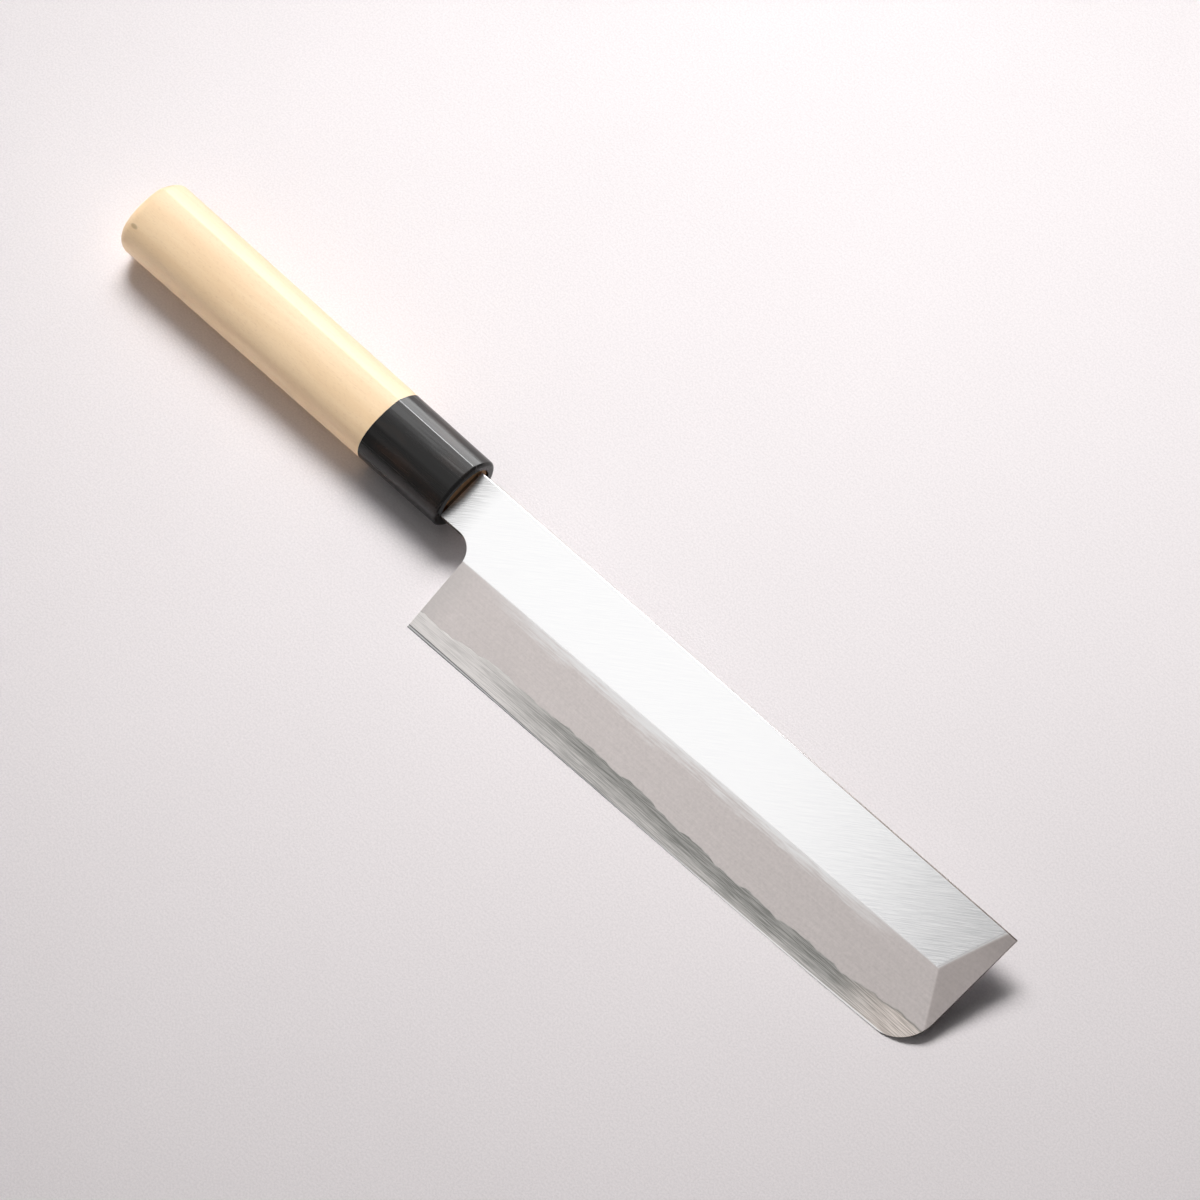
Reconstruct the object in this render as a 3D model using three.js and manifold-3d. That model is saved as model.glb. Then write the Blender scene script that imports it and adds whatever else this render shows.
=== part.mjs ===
// Usuba: a single-bevel vegetable knife lying on a table, bevel side up.
// A blade of soft iron with a hard steel layer welded to its back runs into a neck and a tang,
// and the tang is driven into a wooden handle that carries a horn ferrule.
// Millimetres, +Z up, +X from the handle to the tip, origin on the table under the knife's middle.

import * as THREE from "three";
import { mergeVertices } from "three/addons/utils/BufferGeometryUtils.js";
import Module from "manifold-3d";

const wasm = await Module();
wasm.setup();

// Blade outline, seen from the bevel side: X runs from heel to tip, Y from edge to spine
const BLADE_LENGTH = 195; // heel to the spine corner of the tip
const HEEL_HEIGHT = 47.5; // edge to spine at the heel
const TIP_HEIGHT = 44.8; // edge line to spine at the tip
const TIP_LEAN = 1.7; // the tip end reaches this much further at the spine than at its round corner
const TIP_RADIUS = 12; // round corner between the edge and the tip end
const EDGE_LIFT = 0.5; // the edge leaves its straight line by this much at the round corner
const EDGE_LIFT_LENGTH = 45; // stretch of edge in which it does so
const NECK_LENGTH = 14.6; // ferrule to heel
const NECK_HEIGHT = 17.4; // spine to the underside of the neck
const NECK_FILLET = 7.2; // round corner between the neck's underside and the heel

// Blade thickness: Z rises from the flat back at zero to the bevel side
const NECK_SPINE_THICKNESS = 3.7;
const TIP_SPINE_THICKNESS = 1.4;
const SHINOGI_HEIGHT = 24.5; // edge line to the ridge between the bevel and the flat above it
const HEEL_SHINOGI_THICKNESS = 3.5;
const TIP_SHINOGI_THICKNESS = 2.5;
const SPINE_CHAMFER = 0.4;
const MICRO_BEVEL_WIDTH = 0.6; // last honed strip along the edge
const MICRO_BEVEL_THICKNESS = 0.22;
const EDGE_THICKNESS = 0.05;
const TIP_BEVEL_WIDTH = 9.7; // facet ground on the tip end, measured on the ridge line
const TIP_END_THICKNESS = 0.9;

// Hollow ground into the back, with flat rims left along the edge, the spine and the tip
const HOLLOW_DEPTH = 0.5;
const HOLLOW_EDGE_RIM = 1.6;
const HOLLOW_SPINE_RIM = 2.4;
const HOLLOW_TIP_RIM = 5;
const HOLLOW_NECK_REACH = 7; // how far it runs past the heel
const HOLLOW_RUNOUT = 22; // length over which it fades at each end

// Steel layer: its upper face is the weld, which meets the bevel in a slow wave
const STEEL_BAND = 6.8; // mean height of the weld line above the edge
const STEEL_NECK_REACH = 4; // how far the layer runs past the heel
const WELD_SWELL = 0.7;
const WELD_SWELL_LENGTH = 150;
const WELD_SWELL_CREST = 30; // distance of a crest from the heel
const WELD_RIPPLE = 0.35;
const WELD_RIPPLE_LENGTH = 23;
const WELD_GAP = 0.02;

// Tang
const TANG_LENGTH = 95;
const TANG_ROOT_HEIGHT = 12;
const TANG_END_HEIGHT = 5;
const TANG_ROOT_THICKNESS = 3.2;
const TANG_END_THICKNESS = 2.2;
const TANG_CLEARANCE = 0.3;

// Handle: X runs back from the ferrule's front face, section tapering from the butt to the ferrule
const WOOD_LENGTH = 103.1; // wood that shows behind the ferrule
const FERRULE_LENGTH = 32;
const FERRULE_HEIGHT = 24.4;
const FERRULE_THICKNESS = 19.6;
const BUTT_HEIGHT = 26.2;
const BUTT_THICKNESS = 21.6;
const BUTT_ROUNDING = 3.2;
const RIDGE_OFFSET = 6.5; // ridge of the section, from the handle's axis towards the spine
const RIDGE_RISE = 8.3; // and from the axis towards the bevel side
const AXIS_BELOW_SPINE = 7.8; // handle's axis at the ferrule's front face
const AXIS_ABOVE_BACK = 1.1; // and from the plane of the blade's back
const HANDLE_TILT = THREE.MathUtils.degToRad(1.33); // the butt is raised towards the spine side
const FERRULE_CHAMFER = 0.7;
const BORE_HEIGHT = 18.6; // oval bore of the ferrule
const BORE_THICKNESS = 14.2;
const TENON_CLEARANCE = 0.05; // all round the tenon in the bore
const TENON_RECESS = 0.7; // tenon's end, behind the ferrule's front face
const JOINT_GAP = 0.05; // between faces that butt against each other

// Bezier pulls of the handle's section, in half heights and half thicknesses
const CROWN_PULL = new THREE.Vector2(-0.22, 1.15);
const EDGE_SIDE_PULL = new THREE.Vector2(-1, 0.95);
const SPINE_SIDE_PULL = new THREE.Vector2(1, 0.3);
const FACET_PULL = new THREE.Vector2(0.71, 0.66);

// Facets, and the margin by which a cutter passes what it cuts
const BLADE_STATIONS = 22;
const WELD_STATIONS = 54;
const HOLLOW_STEPS = 12;
const ARC_STEPS = 10;
const OVAL_STEPS = 48;
const ROUNDING_STEPS = 6;
const MARGIN = 3;

// Values that follow from the sizes
const handleLength = FERRULE_LENGTH + WOOD_LENGTH;
const neckX = -NECK_LENGTH;
const tipCornerX = BLADE_LENGTH - TIP_LEAN;
const tipRadiusX = tipCornerX - TIP_RADIUS;
const tipRadiusY = EDGE_LIFT + TIP_RADIUS;
const neckUnderside = spineAt(neckX) - NECK_HEIGHT;
const axisHeight = spineAt(neckX) - AXIS_BELOW_SPINE;

function spineAt(x) {
  return THREE.MathUtils.lerp(HEEL_HEIGHT, TIP_HEIGHT, x / BLADE_LENGTH);
}

function edgeAt(x) {
  const share = (x - tipRadiusX + EDGE_LIFT_LENGTH) / EDGE_LIFT_LENGTH;
  return EDGE_LIFT * THREE.MathUtils.clamp(share, 0, 1) ** 2;
}

function spineThicknessAt(x) {
  const share = (x - neckX) / (BLADE_LENGTH - neckX);
  return THREE.MathUtils.lerp(NECK_SPINE_THICKNESS, TIP_SPINE_THICKNESS, share);
}

function shinogiThicknessAt(x) {
  return THREE.MathUtils.lerp(HEEL_SHINOGI_THICKNESS, TIP_SHINOGI_THICKNESS, x / BLADE_LENGTH);
}

// Height of the weld above the back, from where its wavy line crosses the bevel.
function weldAt(x) {
  const swell = WELD_SWELL * Math.cos((2 * Math.PI * (x - WELD_SWELL_CREST)) / WELD_SWELL_LENGTH);
  const ripple = WELD_RIPPLE * Math.sin((2 * Math.PI * x) / WELD_RIPPLE_LENGTH);
  const share = (STEEL_BAND + swell + ripple - MICRO_BEVEL_WIDTH) / (SHINOGI_HEIGHT - MICRO_BEVEL_WIDTH);
  return THREE.MathUtils.lerp(MICRO_BEVEL_THICKNESS, shinogiThicknessAt(x), share);
}

// X on a plane parallel to the ferrule's front face, in front of it by gap, at a height above the edge.
function seatAt(y, gap) {
  return neckX + (gap + (y - axisHeight) * Math.sin(HANDLE_TILT)) / Math.cos(HANDLE_TILT);
}

// Solids for joining and cutting
function solidOf(geometry) {
  const bare = geometry.clone();
  bare.deleteAttribute("normal");
  bare.deleteAttribute("uv");
  const merged = mergeVertices(bare);
  const vertProperties = new Float32Array(merged.attributes.position.array);
  const triVerts = new Uint32Array(merged.index.array);
  return new wasm.Manifold(new wasm.Mesh({ numProp: 3, vertProperties, triVerts }));
}

function geometryOf(solid) {
  const mesh = solid.getMesh();
  const geometry = new THREE.BufferGeometry();
  geometry.setAttribute("position", new THREE.BufferAttribute(mesh.vertProperties, 3));
  geometry.setIndex(new THREE.BufferAttribute(mesh.triVerts, 1));
  geometry.computeVertexNormals();
  return geometry;
}

// Closed skin over sections of equal length, each anticlockwise in Y and Z and further along X than the last.
function loft(sections) {
  const count = sections[0].points.length;
  const positions = [];
  for (const { x, points } of sections) {
    for (const point of points) {
      positions.push(x, point.x, point.y);
    }
  }
  const index = [];
  for (let ring = 0; ring + 1 < sections.length; ring += 1) {
    for (let corner = 0; corner < count; corner += 1) {
      const here = ring * count + corner;
      const next = ring * count + ((corner + 1) % count);
      index.push(here, next, next + count);
      index.push(here, next + count, here + count);
    }
  }
  const last = (sections.length - 1) * count;
  for (const [a, b, c] of THREE.ShapeUtils.triangulateShape(sections[0].points, [])) {
    index.push(a, c, b);
  }
  for (const [a, b, c] of THREE.ShapeUtils.triangulateShape(sections.at(-1).points, [])) {
    index.push(last + a, last + b, last + c);
  }
  const geometry = new THREE.BufferGeometry();
  geometry.setAttribute("position", new THREE.Float32BufferAttribute(positions, 3));
  geometry.setIndex(index);
  return geometry;
}

function stations(from, to, count) {
  return Array.from({ length: count + 1 }, (_, step) => THREE.MathUtils.lerp(from, to, step / count));
}

function rectangle(fromY, toY, fromZ, toZ) {
  return [
    new THREE.Vector2(fromY, fromZ),
    new THREE.Vector2(toY, fromZ),
    new THREE.Vector2(toY, toZ),
    new THREE.Vector2(fromY, toZ),
  ];
}

function oval(height, thickness) {
  return new THREE.EllipseCurve(0, 0, height / 2, thickness / 2).getPoints(OVAL_STEPS).slice(0, -1);
}

// Blade outline as a prism: neck, filleted heel, round tip corner and leaning tip end.
// The edge and the spine are left to the ground section.
function bladePrism() {
  const top = HEEL_HEIGHT + MARGIN;
  const leanPerHeight = TIP_LEAN / (TIP_HEIGHT - tipRadiusY);
  const outline = new THREE.Shape();
  outline.moveTo(seatAt(neckUnderside, JOINT_GAP), neckUnderside);
  outline.lineTo(-NECK_FILLET, neckUnderside);
  outline.absarc(-NECK_FILLET, neckUnderside - NECK_FILLET, NECK_FILLET, Math.PI / 2, 0, true);
  outline.lineTo(0, -MARGIN);
  outline.lineTo(tipRadiusX, -MARGIN);
  outline.absarc(tipRadiusX, tipRadiusY, TIP_RADIUS, -Math.PI / 2, 0, false);
  outline.lineTo(tipCornerX + (top - tipRadiusY) * leanPerHeight, top);
  outline.lineTo(seatAt(top, JOINT_GAP), top);
  const depth = NECK_SPINE_THICKNESS + HEEL_SHINOGI_THICKNESS + MARGIN;
  const prism = new THREE.ExtrudeGeometry(outline, { depth, bevelEnabled: false, curveSegments: ARC_STEPS });
  return prism.translate(0, 0, -MARGIN);
}

// Ground section along the blade: flat back, chamfered spine, flat, ridge, bevel and honed edge.
function groundSection(x) {
  const edge = edgeAt(x);
  const spine = spineAt(x);
  const thickness = spineThicknessAt(x);
  return [
    new THREE.Vector2(edge, 0),
    new THREE.Vector2(spine - SPINE_CHAMFER, 0),
    new THREE.Vector2(spine, SPINE_CHAMFER),
    new THREE.Vector2(spine, thickness - SPINE_CHAMFER),
    new THREE.Vector2(spine - SPINE_CHAMFER, thickness),
    new THREE.Vector2(SHINOGI_HEIGHT, shinogiThicknessAt(x)),
    new THREE.Vector2(edge + MICRO_BEVEL_WIDTH, MICRO_BEVEL_THICKNESS),
    new THREE.Vector2(edge, EDGE_THICKNESS),
  ];
}

// Block above the tip facet, which falls from the ridge line to the tip end and runs along that end.
function tipBevelBlock() {
  const ridgeShare = (SHINOGI_HEIGHT - tipRadiusY) / (TIP_HEIGHT - tipRadiusY);
  const endX = tipCornerX + TIP_LEAN * ridgeShare;
  const drop = shinogiThicknessAt(endX - TIP_BEVEL_WIDTH) - TIP_END_THICKNESS;
  const along = new THREE.Vector3(TIP_LEAN, TIP_HEIGHT - tipRadiusY, 0).normalize();
  const outward = new THREE.Vector3(TIP_BEVEL_WIDTH, 0, -drop).normalize();
  const normal = outward.clone().cross(along).normalize();
  const acrossTip = along.clone().cross(normal);
  const reach = 2 * HEEL_HEIGHT;
  const block = new THREE.BoxGeometry(reach, reach, reach).translate(0, 0, reach / 2);
  const place = new THREE.Matrix4().makeBasis(acrossTip, along, normal);
  place.setPosition(endX, SHINOGI_HEIGHT, TIP_END_THICKNESS);
  return block.applyMatrix4(place);
}

// Shallow trough under the back, deepest at mid height, rising to nothing at both ends.
function backHollow() {
  const from = -HOLLOW_NECK_REACH;
  const to = BLADE_LENGTH - HOLLOW_TIP_RIM;
  const below = HOLLOW_DEPTH / 10;
  const sections = stations(from, to, BLADE_STATIONS).map((x) => {
    const fade = Math.min(x - from, to - x, HOLLOW_RUNOUT) / HOLLOW_RUNOUT;
    const depth = (HOLLOW_DEPTH + below) * Math.sin((fade * Math.PI) / 2);
    const fromY = edgeAt(x) + HOLLOW_EDGE_RIM;
    const toY = spineAt(x) - HOLLOW_SPINE_RIM;
    const points = [new THREE.Vector2(fromY, -MARGIN), new THREE.Vector2(toY, -MARGIN)];
    for (const share of stations(1, 0, HOLLOW_STEPS)) {
      const y = THREE.MathUtils.lerp(fromY, toY, share);
      points.push(new THREE.Vector2(y, 4 * depth * share * (1 - share) - below));
    }
    return { x, points };
  });
  return loft(sections);
}

// Everything below the weld, or with a gap everything that the steel layer takes from the iron.
function weldBlock(gap) {
  const from = -STEEL_NECK_REACH - gap;
  const to = BLADE_LENGTH + MARGIN;
  const sections = stations(from, to, WELD_STATIONS).map((x) => ({
    x,
    points: rectangle(-MARGIN, HEEL_HEIGHT + MARGIN, -MARGIN, weldAt(x) + gap),
  }));
  return loft(sections);
}

// Tang from inside the neck to its end, tapering in height and thickness, in the handle's frame.
function tangTaper(clearance) {
  const middle = NECK_SPINE_THICKNESS / 2 - AXIS_ABOVE_BACK;
  const sections = [-TANG_LENGTH - clearance, MARGIN].map((x) => {
    const share = -x / TANG_LENGTH;
    const halfHeight = THREE.MathUtils.lerp(TANG_ROOT_HEIGHT, TANG_END_HEIGHT, share) / 2 + clearance;
    const halfThickness = THREE.MathUtils.lerp(TANG_ROOT_THICKNESS, TANG_END_THICKNESS, share) / 2 + clearance;
    return { x, points: rectangle(-halfHeight, halfHeight, middle - halfThickness, middle + halfThickness) };
  });
  return loft(sections);
}

// Handle section: oval back, a ridge towards the spine, a facet beside it and a broad crowned face.
function handleSection(x, inset) {
  const share = -x / handleLength;
  const halfHeight = THREE.MathUtils.lerp(FERRULE_HEIGHT, BUTT_HEIGHT, share) / 2 - inset;
  const halfThickness = THREE.MathUtils.lerp(FERRULE_THICKNESS, BUTT_THICKNESS, share) / 2 - inset;
  const ridge = new THREE.Vector2((2 * RIDGE_OFFSET) / FERRULE_HEIGHT, (2 * RIDGE_RISE) / FERRULE_THICKNESS);
  const edgeSide = new THREE.Vector2(-1, 0);
  const outline = new THREE.Path();
  outline.moveTo(edgeSide.x, edgeSide.y);
  outline.absellipse(0, 0, 1, 1, Math.PI, 2 * Math.PI, false);
  outline.bezierCurveTo(...SPINE_SIDE_PULL, ...FACET_PULL, ...ridge);
  outline.bezierCurveTo(...CROWN_PULL, ...EDGE_SIDE_PULL, ...edgeSide);
  const points = outline.getPoints(ARC_STEPS).slice(0, -1);
  return { x, points: points.map((p) => new THREE.Vector2(p.x * halfHeight, p.y * halfThickness)) };
}

function woodGeometry() {
  const shoulder = -FERRULE_LENGTH - JOINT_GAP;
  const butt = -handleLength;
  const sections = stations(0, Math.PI / 2, ROUNDING_STEPS).map((turn) => {
    const x = butt + BUTT_ROUNDING * (1 - Math.cos(turn));
    return handleSection(x, BUTT_ROUNDING * (1 - Math.sin(turn)));
  });
  sections.push(handleSection(shoulder, 0));
  const tenonOval = oval(BORE_HEIGHT - 2 * TENON_CLEARANCE, BORE_THICKNESS - 2 * TENON_CLEARANCE);
  const tenon = loft([
    { x: shoulder - MARGIN, points: tenonOval },
    { x: -TENON_RECESS, points: tenonOval },
  ]);
  const grip = solidOf(loft(sections)).add(solidOf(tenon));
  return geometryOf(grip.subtract(solidOf(tangTaper(TANG_CLEARANCE))));
}

function ferruleGeometry() {
  const ring = loft([
    handleSection(-FERRULE_LENGTH, 0),
    handleSection(-FERRULE_CHAMFER, 0),
    handleSection(0, FERRULE_CHAMFER),
  ]);
  const boreOval = oval(BORE_HEIGHT, BORE_THICKNESS);
  const bore = loft([
    { x: -FERRULE_LENGTH - MARGIN, points: boreOval },
    { x: MARGIN, points: boreOval },
  ]);
  return geometryOf(solidOf(ring).subtract(solidOf(bore)));
}

function named(name, geometry, color, roughness, metalness) {
  const mesh = new THREE.Mesh(geometry, new THREE.MeshStandardMaterial({ color, roughness, metalness }));
  mesh.name = name;
  return mesh;
}

// Handle and ferrule share a frame on the handle's axis
const handle = new THREE.Group();
handle.position.set(neckX, axisHeight, AXIS_ABOVE_BACK);
handle.rotation.z = -HANDLE_TILT;
handle.updateMatrix();
const wood = named("wooden_handle", woodGeometry(), 0xe4cfa6, 0.6, 0);
const ferrule = named("horn_ferrule", ferruleGeometry(), 0x1e1a18, 0.25, 0);
handle.add(wood, ferrule);

// The ground blade is split at the weld, and the iron above it carries the tang
const groundSections = stations(neckX - MARGIN, BLADE_LENGTH + MARGIN, BLADE_STATIONS);
const ground = loft(groundSections.map((x) => ({ x, points: groundSection(x) })));
const blade = solidOf(bladePrism())
  .intersect(solidOf(ground))
  .subtract(solidOf(tipBevelBlock()))
  .subtract(solidOf(backHollow()));
const tang = solidOf(tangTaper(0).applyMatrix4(handle.matrix));
const iron = blade.subtract(solidOf(weldBlock(WELD_GAP))).add(tang);
const steel = blade.intersect(solidOf(weldBlock(0)));

const knife = new THREE.Group();
knife.add(named("soft_iron_body", geometryOf(iron), 0xd9d7d5, 0.35, 1));
knife.add(named("hard_steel_layer", geometryOf(steel), 0xa8a8a2, 0.4, 1));
knife.add(handle);

// The knife leans on its edge and the handle's underside: roll it until the lowest point of the handle is down
function leanAngle() {
  knife.updateMatrixWorld(true);
  const point = new THREE.Vector3();
  let angle = 0;
  for (const mesh of [wood, ferrule]) {
    const corners = mesh.geometry.attributes.position;
    for (let corner = 0; corner < corners.count; corner += 1) {
      point.fromBufferAttribute(corners, corner).applyMatrix4(mesh.matrixWorld);
      angle = Math.max(angle, Math.atan2(-point.z, point.y));
    }
  }
  return angle;
}

knife.rotation.x = leanAngle();
const box = new THREE.Box3().setFromObject(knife, true);
const middle = box.getCenter(new THREE.Vector3());
knife.position.set(-middle.x, -middle.y, -box.min.z);

const usuba = new THREE.Group();
usuba.add(knife);

export default usuba;
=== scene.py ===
"""Looks of an usuba, a single-bevel vegetable knife that lies on a pale table with its bevel side up.

The four pieces are built in the knife's own frame, in millimetres: X runs from the heel to the tip,
Y from the edge to the spine, and Z rises from the flat back to the bevel side. One matrix lays the
knife on the table, so the object coordinates of the materials are the knife's own.
"""

import math

import bmesh
import bpy
from mathutils import Matrix, Vector


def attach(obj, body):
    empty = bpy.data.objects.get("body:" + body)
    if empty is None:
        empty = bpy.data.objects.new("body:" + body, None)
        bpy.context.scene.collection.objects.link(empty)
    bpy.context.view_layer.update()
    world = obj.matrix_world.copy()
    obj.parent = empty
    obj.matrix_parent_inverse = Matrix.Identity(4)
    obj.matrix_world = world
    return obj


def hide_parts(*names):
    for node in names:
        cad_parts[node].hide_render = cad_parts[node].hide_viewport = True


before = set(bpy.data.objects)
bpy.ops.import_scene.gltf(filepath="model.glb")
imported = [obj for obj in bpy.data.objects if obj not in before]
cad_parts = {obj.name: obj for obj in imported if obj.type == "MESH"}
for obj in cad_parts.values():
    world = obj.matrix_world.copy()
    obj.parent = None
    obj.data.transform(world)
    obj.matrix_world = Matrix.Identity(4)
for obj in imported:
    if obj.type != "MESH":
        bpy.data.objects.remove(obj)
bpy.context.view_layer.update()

MM = 0.001

# Lie of the knife on the table
ROLL = math.radians(13.22724)
KNIFE_SHIFT = (-22.5533, -27.2590, 0.0)

# Blade outline
BLADE_LENGTH = 195.0
HEEL_HEIGHT = 47.5
TIP_HEIGHT = 44.8
TIP_LEAN = 1.7
TIP_RADIUS = 12.0
EDGE_LIFT = 0.5
EDGE_LIFT_LENGTH = 45.0
NECK_LENGTH = 14.6
NECK_HEIGHT = 17.4
NECK_FILLET = 7.2

# Blade thickness and grind
NECK_SPINE_THICKNESS = 3.7
TIP_SPINE_THICKNESS = 1.4
SHINOGI_HEIGHT = 24.5
HEEL_SHINOGI_THICKNESS = 3.5
TIP_SHINOGI_THICKNESS = 2.5
SPINE_ROUNDING = 0.4
BEVEL_FOOT_WIDTH = 0.6
BEVEL_FOOT_THICKNESS = 0.22
HONE_SLOPE = 0.25
TIP_BEVEL_WIDTH = 9.7
TIP_END_THICKNESS = 0.9
RIDGE_SOFTNESS = 0.1

# Honed strip along the edge: wide at the heel, narrow from a third of the length on
HEEL_HONE = 1.0
MIDDLE_HONE = 0.35
TIP_HONE = 0.5
HONE_RUN = 65.0

# Hollow of the back
HOLLOW_DEPTH = 0.5
HOLLOW_EDGE_RIM = 1.6
HOLLOW_SPINE_RIM = 2.4
HOLLOW_TIP_RIM = 5.0
HOLLOW_NECK_REACH = 7.0
HOLLOW_RUNOUT = 22.0
HOLLOW_RIM_SHARE = 0.1

# Weld line on the bevel: crests and troughs from heel to tip, with small bumps on them
WELD_CRESTS = (
    (-10, 5.6), (8, 5.8), (31, 8.0), (43, 7.5), (63, 8.0), (76, 7.5), (86, 8.0), (98, 6.6), (108, 6.8),
    (123, 5.6), (129, 6.5), (137, 5.8), (151, 6.6), (164, 6.2), (176, 7.5), (183, 8.3), (205, 8.3),
)
WELD_BUMP = 0.14
WELD_BUMP_LENGTHS = (4.7, 7.9, 13.1)
WELD_SEAT_SHARE = 0.85
WELD_GAP = 0.02
STEEL_NECK_REACH = 4.0

# Tang
TANG_LENGTH = 95.0
TANG_ROOT_HEIGHT = 12.0
TANG_END_HEIGHT = 5.0
TANG_ROOT_THICKNESS = 3.2
TANG_END_THICKNESS = 2.2
TANG_CLEARANCE = 0.3

# Handle
WOOD_LENGTH = 103.1
FERRULE_LENGTH = 32.0
FERRULE_HEIGHT = 24.4
FERRULE_THICKNESS = 19.6
BUTT_HEIGHT = 26.2
BUTT_THICKNESS = 21.6
BUTT_ROUNDING = 3.2
RIDGE_OFFSET = 6.5
RIDGE_RISE = 8.3
AXIS_BELOW_SPINE = 7.8
AXIS_ABOVE_BACK = 1.1
HANDLE_TILT = math.radians(1.33)
FERRULE_ROUNDING = 1.1
BORE_HEIGHT = 18.6
BORE_THICKNESS = 14.2
BORE_ROUNDING = 0.3
TENON_CLEARANCE = 0.05
TENON_RECESS = 0.7
JOINT_GAP = 0.05
WOOD_RIDGE_ROUNDING = 0.6
HORN_RIDGE_ROUNDING = 0.6
CROWN_PULL = (-0.22, 1.15)
EDGE_SIDE_PULL = (-1.0, 0.95)
SPINE_SIDE_PULL = (1.0, 0.3)
FACET_PULL = (0.71, 0.66)

# Fineness of the meshes
BODY_COLUMNS = 120
FACET_COLUMNS = 5
NECK_COLUMNS = 12
RIDGE_OFFSETS = (-1.2, -0.7, -0.35, 0.0, 0.35, 0.7, 1.2)
HONE_ROWS = 3
STEEL_ROWS = 8
CORNER_ROWS = 4
BEVEL_ROWS = 5
FILLET_ROWS = 6
FLAT_ROWS = 9
RIM_ROW_SHARE = 0.8
OVAL_STEPS = 44
FACET_STEPS = 14
CROWN_STEPS = 34
RIDGE_STEPS = 6
SPINE_STEPS = 4
ROUNDING_STEPS = 8
HANDLE_STEPS = 36
FERRULE_STEPS = 12
BUTT_REACHES = (0.25, 0.5, 0.75)
MERGE_DISTANCE = 1e-6
SHARP_ANGLE = math.radians(35)
FLAT_WEIGHT = 80
RIDGE_SEARCH_WIDTHS = 3
RIDGE_SEARCH_ROUNDS = 40
ROW_END_ROUNDS = 20

# Values that follow from the sizes
handle_length = FERRULE_LENGTH + WOOD_LENGTH
neck_x = -NECK_LENGTH
tip_corner_x = BLADE_LENGTH - TIP_LEAN
tip_radius_x = tip_corner_x - TIP_RADIUS
tip_radius_y = EDGE_LIFT + TIP_RADIUS
tip_slope = TIP_LEAN / (TIP_HEIGHT - tip_radius_y)
steel_end_x = -STEEL_NECK_REACH


def lerp(low, high, share):
    return low + (high - low) * share


def clamp(value, low=0.0, high=1.0):
    return max(low, min(high, value))


def ease(share):
    return share * share * (3 - 2 * share)


# Lines of the blade, as heights above the edge line
def spine_at(x):
    return lerp(HEEL_HEIGHT, TIP_HEIGHT, x / BLADE_LENGTH)


def edge_at(x):
    return EDGE_LIFT * clamp((x - tip_radius_x + EDGE_LIFT_LENGTH) / EDGE_LIFT_LENGTH) ** 2


def hone_at(x):
    """Top of the honed strip."""
    heelward = lerp(HEEL_HONE, MIDDLE_HONE, ease(clamp(x / HONE_RUN)))
    tipward = (TIP_HONE - MIDDLE_HONE) * clamp((x - HONE_RUN) / (BLADE_LENGTH - HONE_RUN))
    return edge_at(x) + heelward + tipward


def weld_line_at(x):
    """Height at which the weld crosses the bevel."""
    for (x0, y0), (x1, y1) in zip(WELD_CRESTS, WELD_CRESTS[1:]):
        if x <= x1:
            height = lerp(y0, y1, ease(clamp((x - x0) / (x1 - x0))))
            break
    bumps = sum(math.sin(2 * math.pi * x / length) for length in WELD_BUMP_LENGTHS)
    return height + WELD_BUMP * bumps


def shinogi_at(x):
    return SHINOGI_HEIGHT


def shoulder_at(x):
    """Where the rounding of the spine starts."""
    return spine_at(x) - SPINE_ROUNDING


neck_underside = spine_at(neck_x) - NECK_HEIGHT
fillet_y = neck_underside - NECK_FILLET
axis_height = spine_at(neck_x) - AXIS_BELOW_SPINE


def fillet_top_at(x):
    """Underside of the neck, from the ferrule round to the heel."""
    if x <= -NECK_FILLET:
        return neck_underside
    return fillet_y + math.sqrt(NECK_FILLET**2 - (x + NECK_FILLET) ** 2)


neck_corner_y = fillet_top_at(steel_end_x)


def heel_end_at(y):
    """X of the blade's rear end at a height: the heel, the fillet, then the end of the steel."""
    if y <= fillet_y:
        return 0.0
    if y >= neck_corner_y:
        return steel_end_x
    return -NECK_FILLET + math.sqrt(NECK_FILLET**2 - (y - fillet_y) ** 2)


def tip_end_at(y):
    """X of the blade's front end at a height: the round corner, then the leaning tip."""
    if y >= tip_radius_y:
        return tip_corner_x + (y - tip_radius_y) * tip_slope
    return tip_radius_x + math.sqrt(max(0.0, TIP_RADIUS**2 - (tip_radius_y - y) ** 2))


def seat_at(y):
    """X of the neck's rear end, just in front of the ferrule."""
    return neck_x + (JOINT_GAP + (y - axis_height) * math.sin(HANDLE_TILT)) / math.cos(HANDLE_TILT)


# Surfaces of the blade, as heights above the back
def shinogi_thickness_at(x):
    return lerp(HEEL_SHINOGI_THICKNESS, TIP_SHINOGI_THICKNESS, x / BLADE_LENGTH)


def spine_thickness_at(x):
    return lerp(NECK_SPINE_THICKNESS, TIP_SPINE_THICKNESS, (x - neck_x) / (BLADE_LENGTH - neck_x))


def bevel_z(x, y):
    foot = edge_at(x) + BEVEL_FOOT_WIDTH
    return lerp(BEVEL_FOOT_THICKNESS, shinogi_thickness_at(x), (y - foot) / (SHINOGI_HEIGHT - foot))


def flat_z(x, y):
    share = (y - SHINOGI_HEIGHT) / (shoulder_at(x) - SHINOGI_HEIGHT)
    return lerp(shinogi_thickness_at(x), spine_thickness_at(x), share)


facet_end_x = tip_corner_x + (SHINOGI_HEIGHT - tip_radius_y) * tip_slope
facet_drop = shinogi_thickness_at(facet_end_x - TIP_BEVEL_WIDTH) - TIP_END_THICKNESS


def facet_z(x, y):
    end = facet_end_x + (y - SHINOGI_HEIGHT) * tip_slope
    return TIP_END_THICKNESS + (end - x) * facet_drop / TIP_BEVEL_WIDTH


def soft_min(first, second):
    overlap = max(RIDGE_SOFTNESS - abs(first - second), 0.0) / RIDGE_SOFTNESS
    return min(first, second) - overlap * overlap * RIDGE_SOFTNESS / 4


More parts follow.
